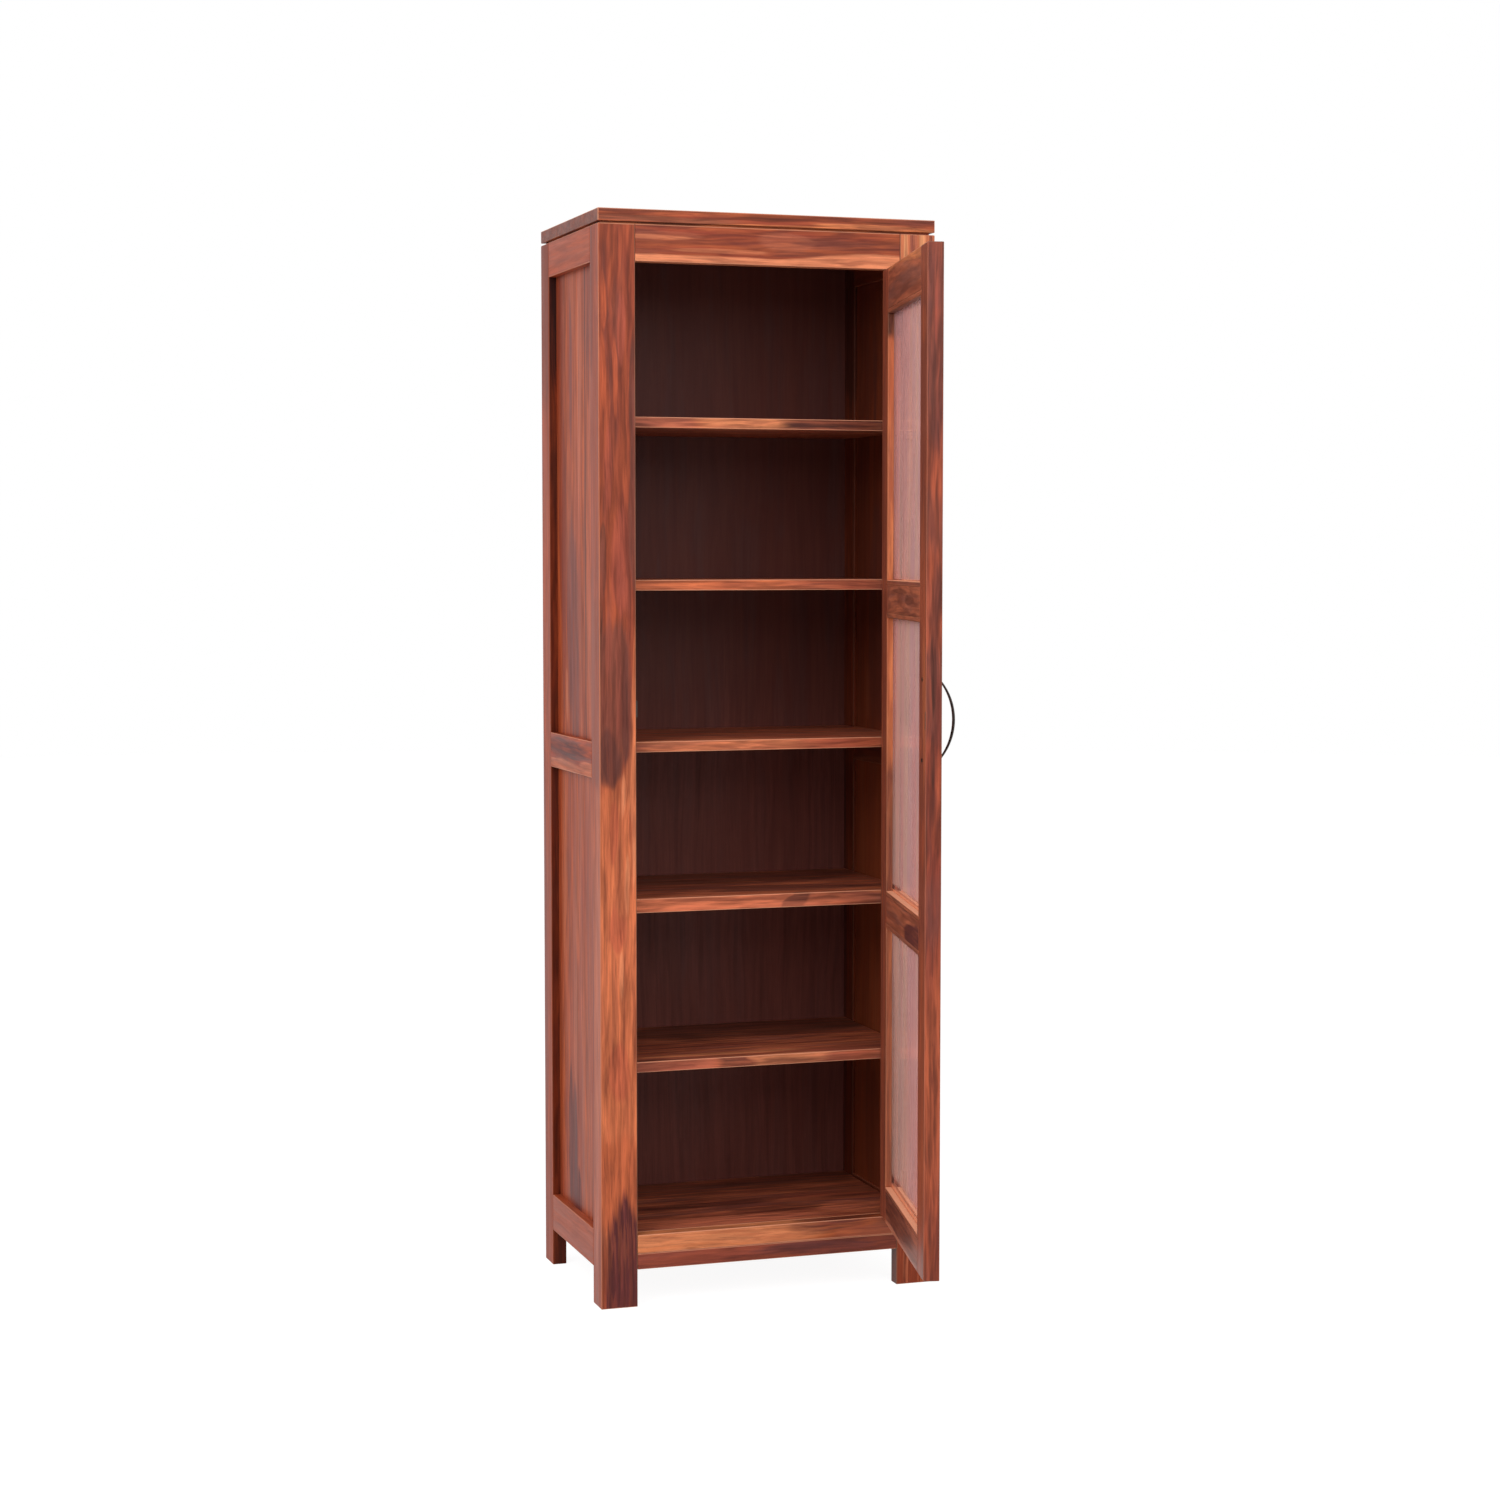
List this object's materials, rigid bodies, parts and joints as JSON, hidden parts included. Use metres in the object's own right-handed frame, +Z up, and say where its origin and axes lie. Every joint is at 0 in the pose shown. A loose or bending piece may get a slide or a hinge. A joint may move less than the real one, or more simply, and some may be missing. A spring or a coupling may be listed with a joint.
{
  "type": "bookcase",
  "caption": "Tall narrow wooden bookcase with framed side panels, full-depth shelves and a glazed door on butt hinges with a bow handle, standing part open.",
  "frame": {"origin": "on the floor, under the middle of the whole object with its door as it stands open", "axes": "+Z up, front of the case towards -Y, +X to the viewer's right when facing the front"},
  "size_m": [0.6, 0.8409, 1.85],
  "materials": {
    "frame_wood": "satin, clear-polished, reddish brown",
    "dark_wood": "satin, dark heartwood",
    "side_wood": "satin, pinkish brown",
    "back_board": "dull, dark stained",
    "shelf_wood": "satin, clear-polished",
    "door_wood": "satin, clear-polished",
    "bead_wood": "satin, light sapwood",
    "pane_glass": "clear, polished",
    "catch_case": "moulded, dark",
    "catch_steel": "bright",
    "handle_metal": "dark bronze, satin",
    "hinge_metal": "antique"
  },
  "bodies": {
    "case": {"top_panel": "frame_wood", "front_left_leg": "frame_wood", "front_right_leg": "frame_wood", "front_top_rail": "frame_wood", "front_sill": "frame_wood", "front_bottom_rail": "dark_wood", "back_left_leg": "side_wood", "back_right_leg": "side_wood", "back_top_rail": "side_wood", "back_bottom_rail": "side_wood", "left_top_rail": "side_wood", "left_middle_rail": "side_wood", "left_bottom_rail": "side_wood", "left_upper_panel": "side_wood", "left_lower_panel": "side_wood", "right_top_rail": "side_wood", "right_middle_rail": "side_wood", "right_bottom_rail": "side_wood", "right_upper_panel": "side_wood", "right_lower_panel": "side_wood", "back_panel": "back_board", "bottom_board": "shelf_wood", "shelf_1": "shelf_wood", "shelf_2": "shelf_wood", "shelf_3": "shelf_wood", "shelf_4": "shelf_wood", "shelf_5": "shelf_wood", "door_catch": "catch_case", "hinge_lower_frame_leaf": "hinge_metal", "hinge_lower_pin": "hinge_metal", "hinge_middle_frame_leaf": "hinge_metal", "hinge_middle_pin": "hinge_metal", "hinge_upper_frame_leaf": "hinge_metal", "hinge_upper_pin": "hinge_metal"},
    "door": {"door_lock_stile": "door_wood", "door_hinge_stile": "door_wood", "door_top_rail": "door_wood", "door_upper_rail": "door_wood", "door_lower_rail": "door_wood", "door_bottom_rail": "door_wood", "lower_bead_bottom": "bead_wood", "lower_bead_top": "bead_wood", "lower_bead_left": "bead_wood", "lower_bead_right": "bead_wood", "middle_bead_bottom": "bead_wood", "middle_bead_top": "bead_wood", "middle_bead_left": "bead_wood", "middle_bead_right": "bead_wood", "upper_bead_bottom": "bead_wood", "upper_bead_top": "bead_wood", "upper_bead_left": "bead_wood", "upper_bead_right": "bead_wood", "lower_glass": "pane_glass", "middle_glass": "pane_glass", "upper_glass": "pane_glass", "catch_plate": "catch_steel", "door_handle": "handle_metal", "hinge_lower_door_leaf": "hinge_metal", "hinge_middle_door_leaf": "hinge_metal", "hinge_upper_door_leaf": "hinge_metal"}
  },
  "joints": [
    {"name": "door_hinge", "type": "hinge", "parent": "case", "child": "door", "pos_m": [0.235, 0.03611, 0.944], "axis": [0, 0, 1], "range_deg": [-77.4, 97.6]}
  ]
}
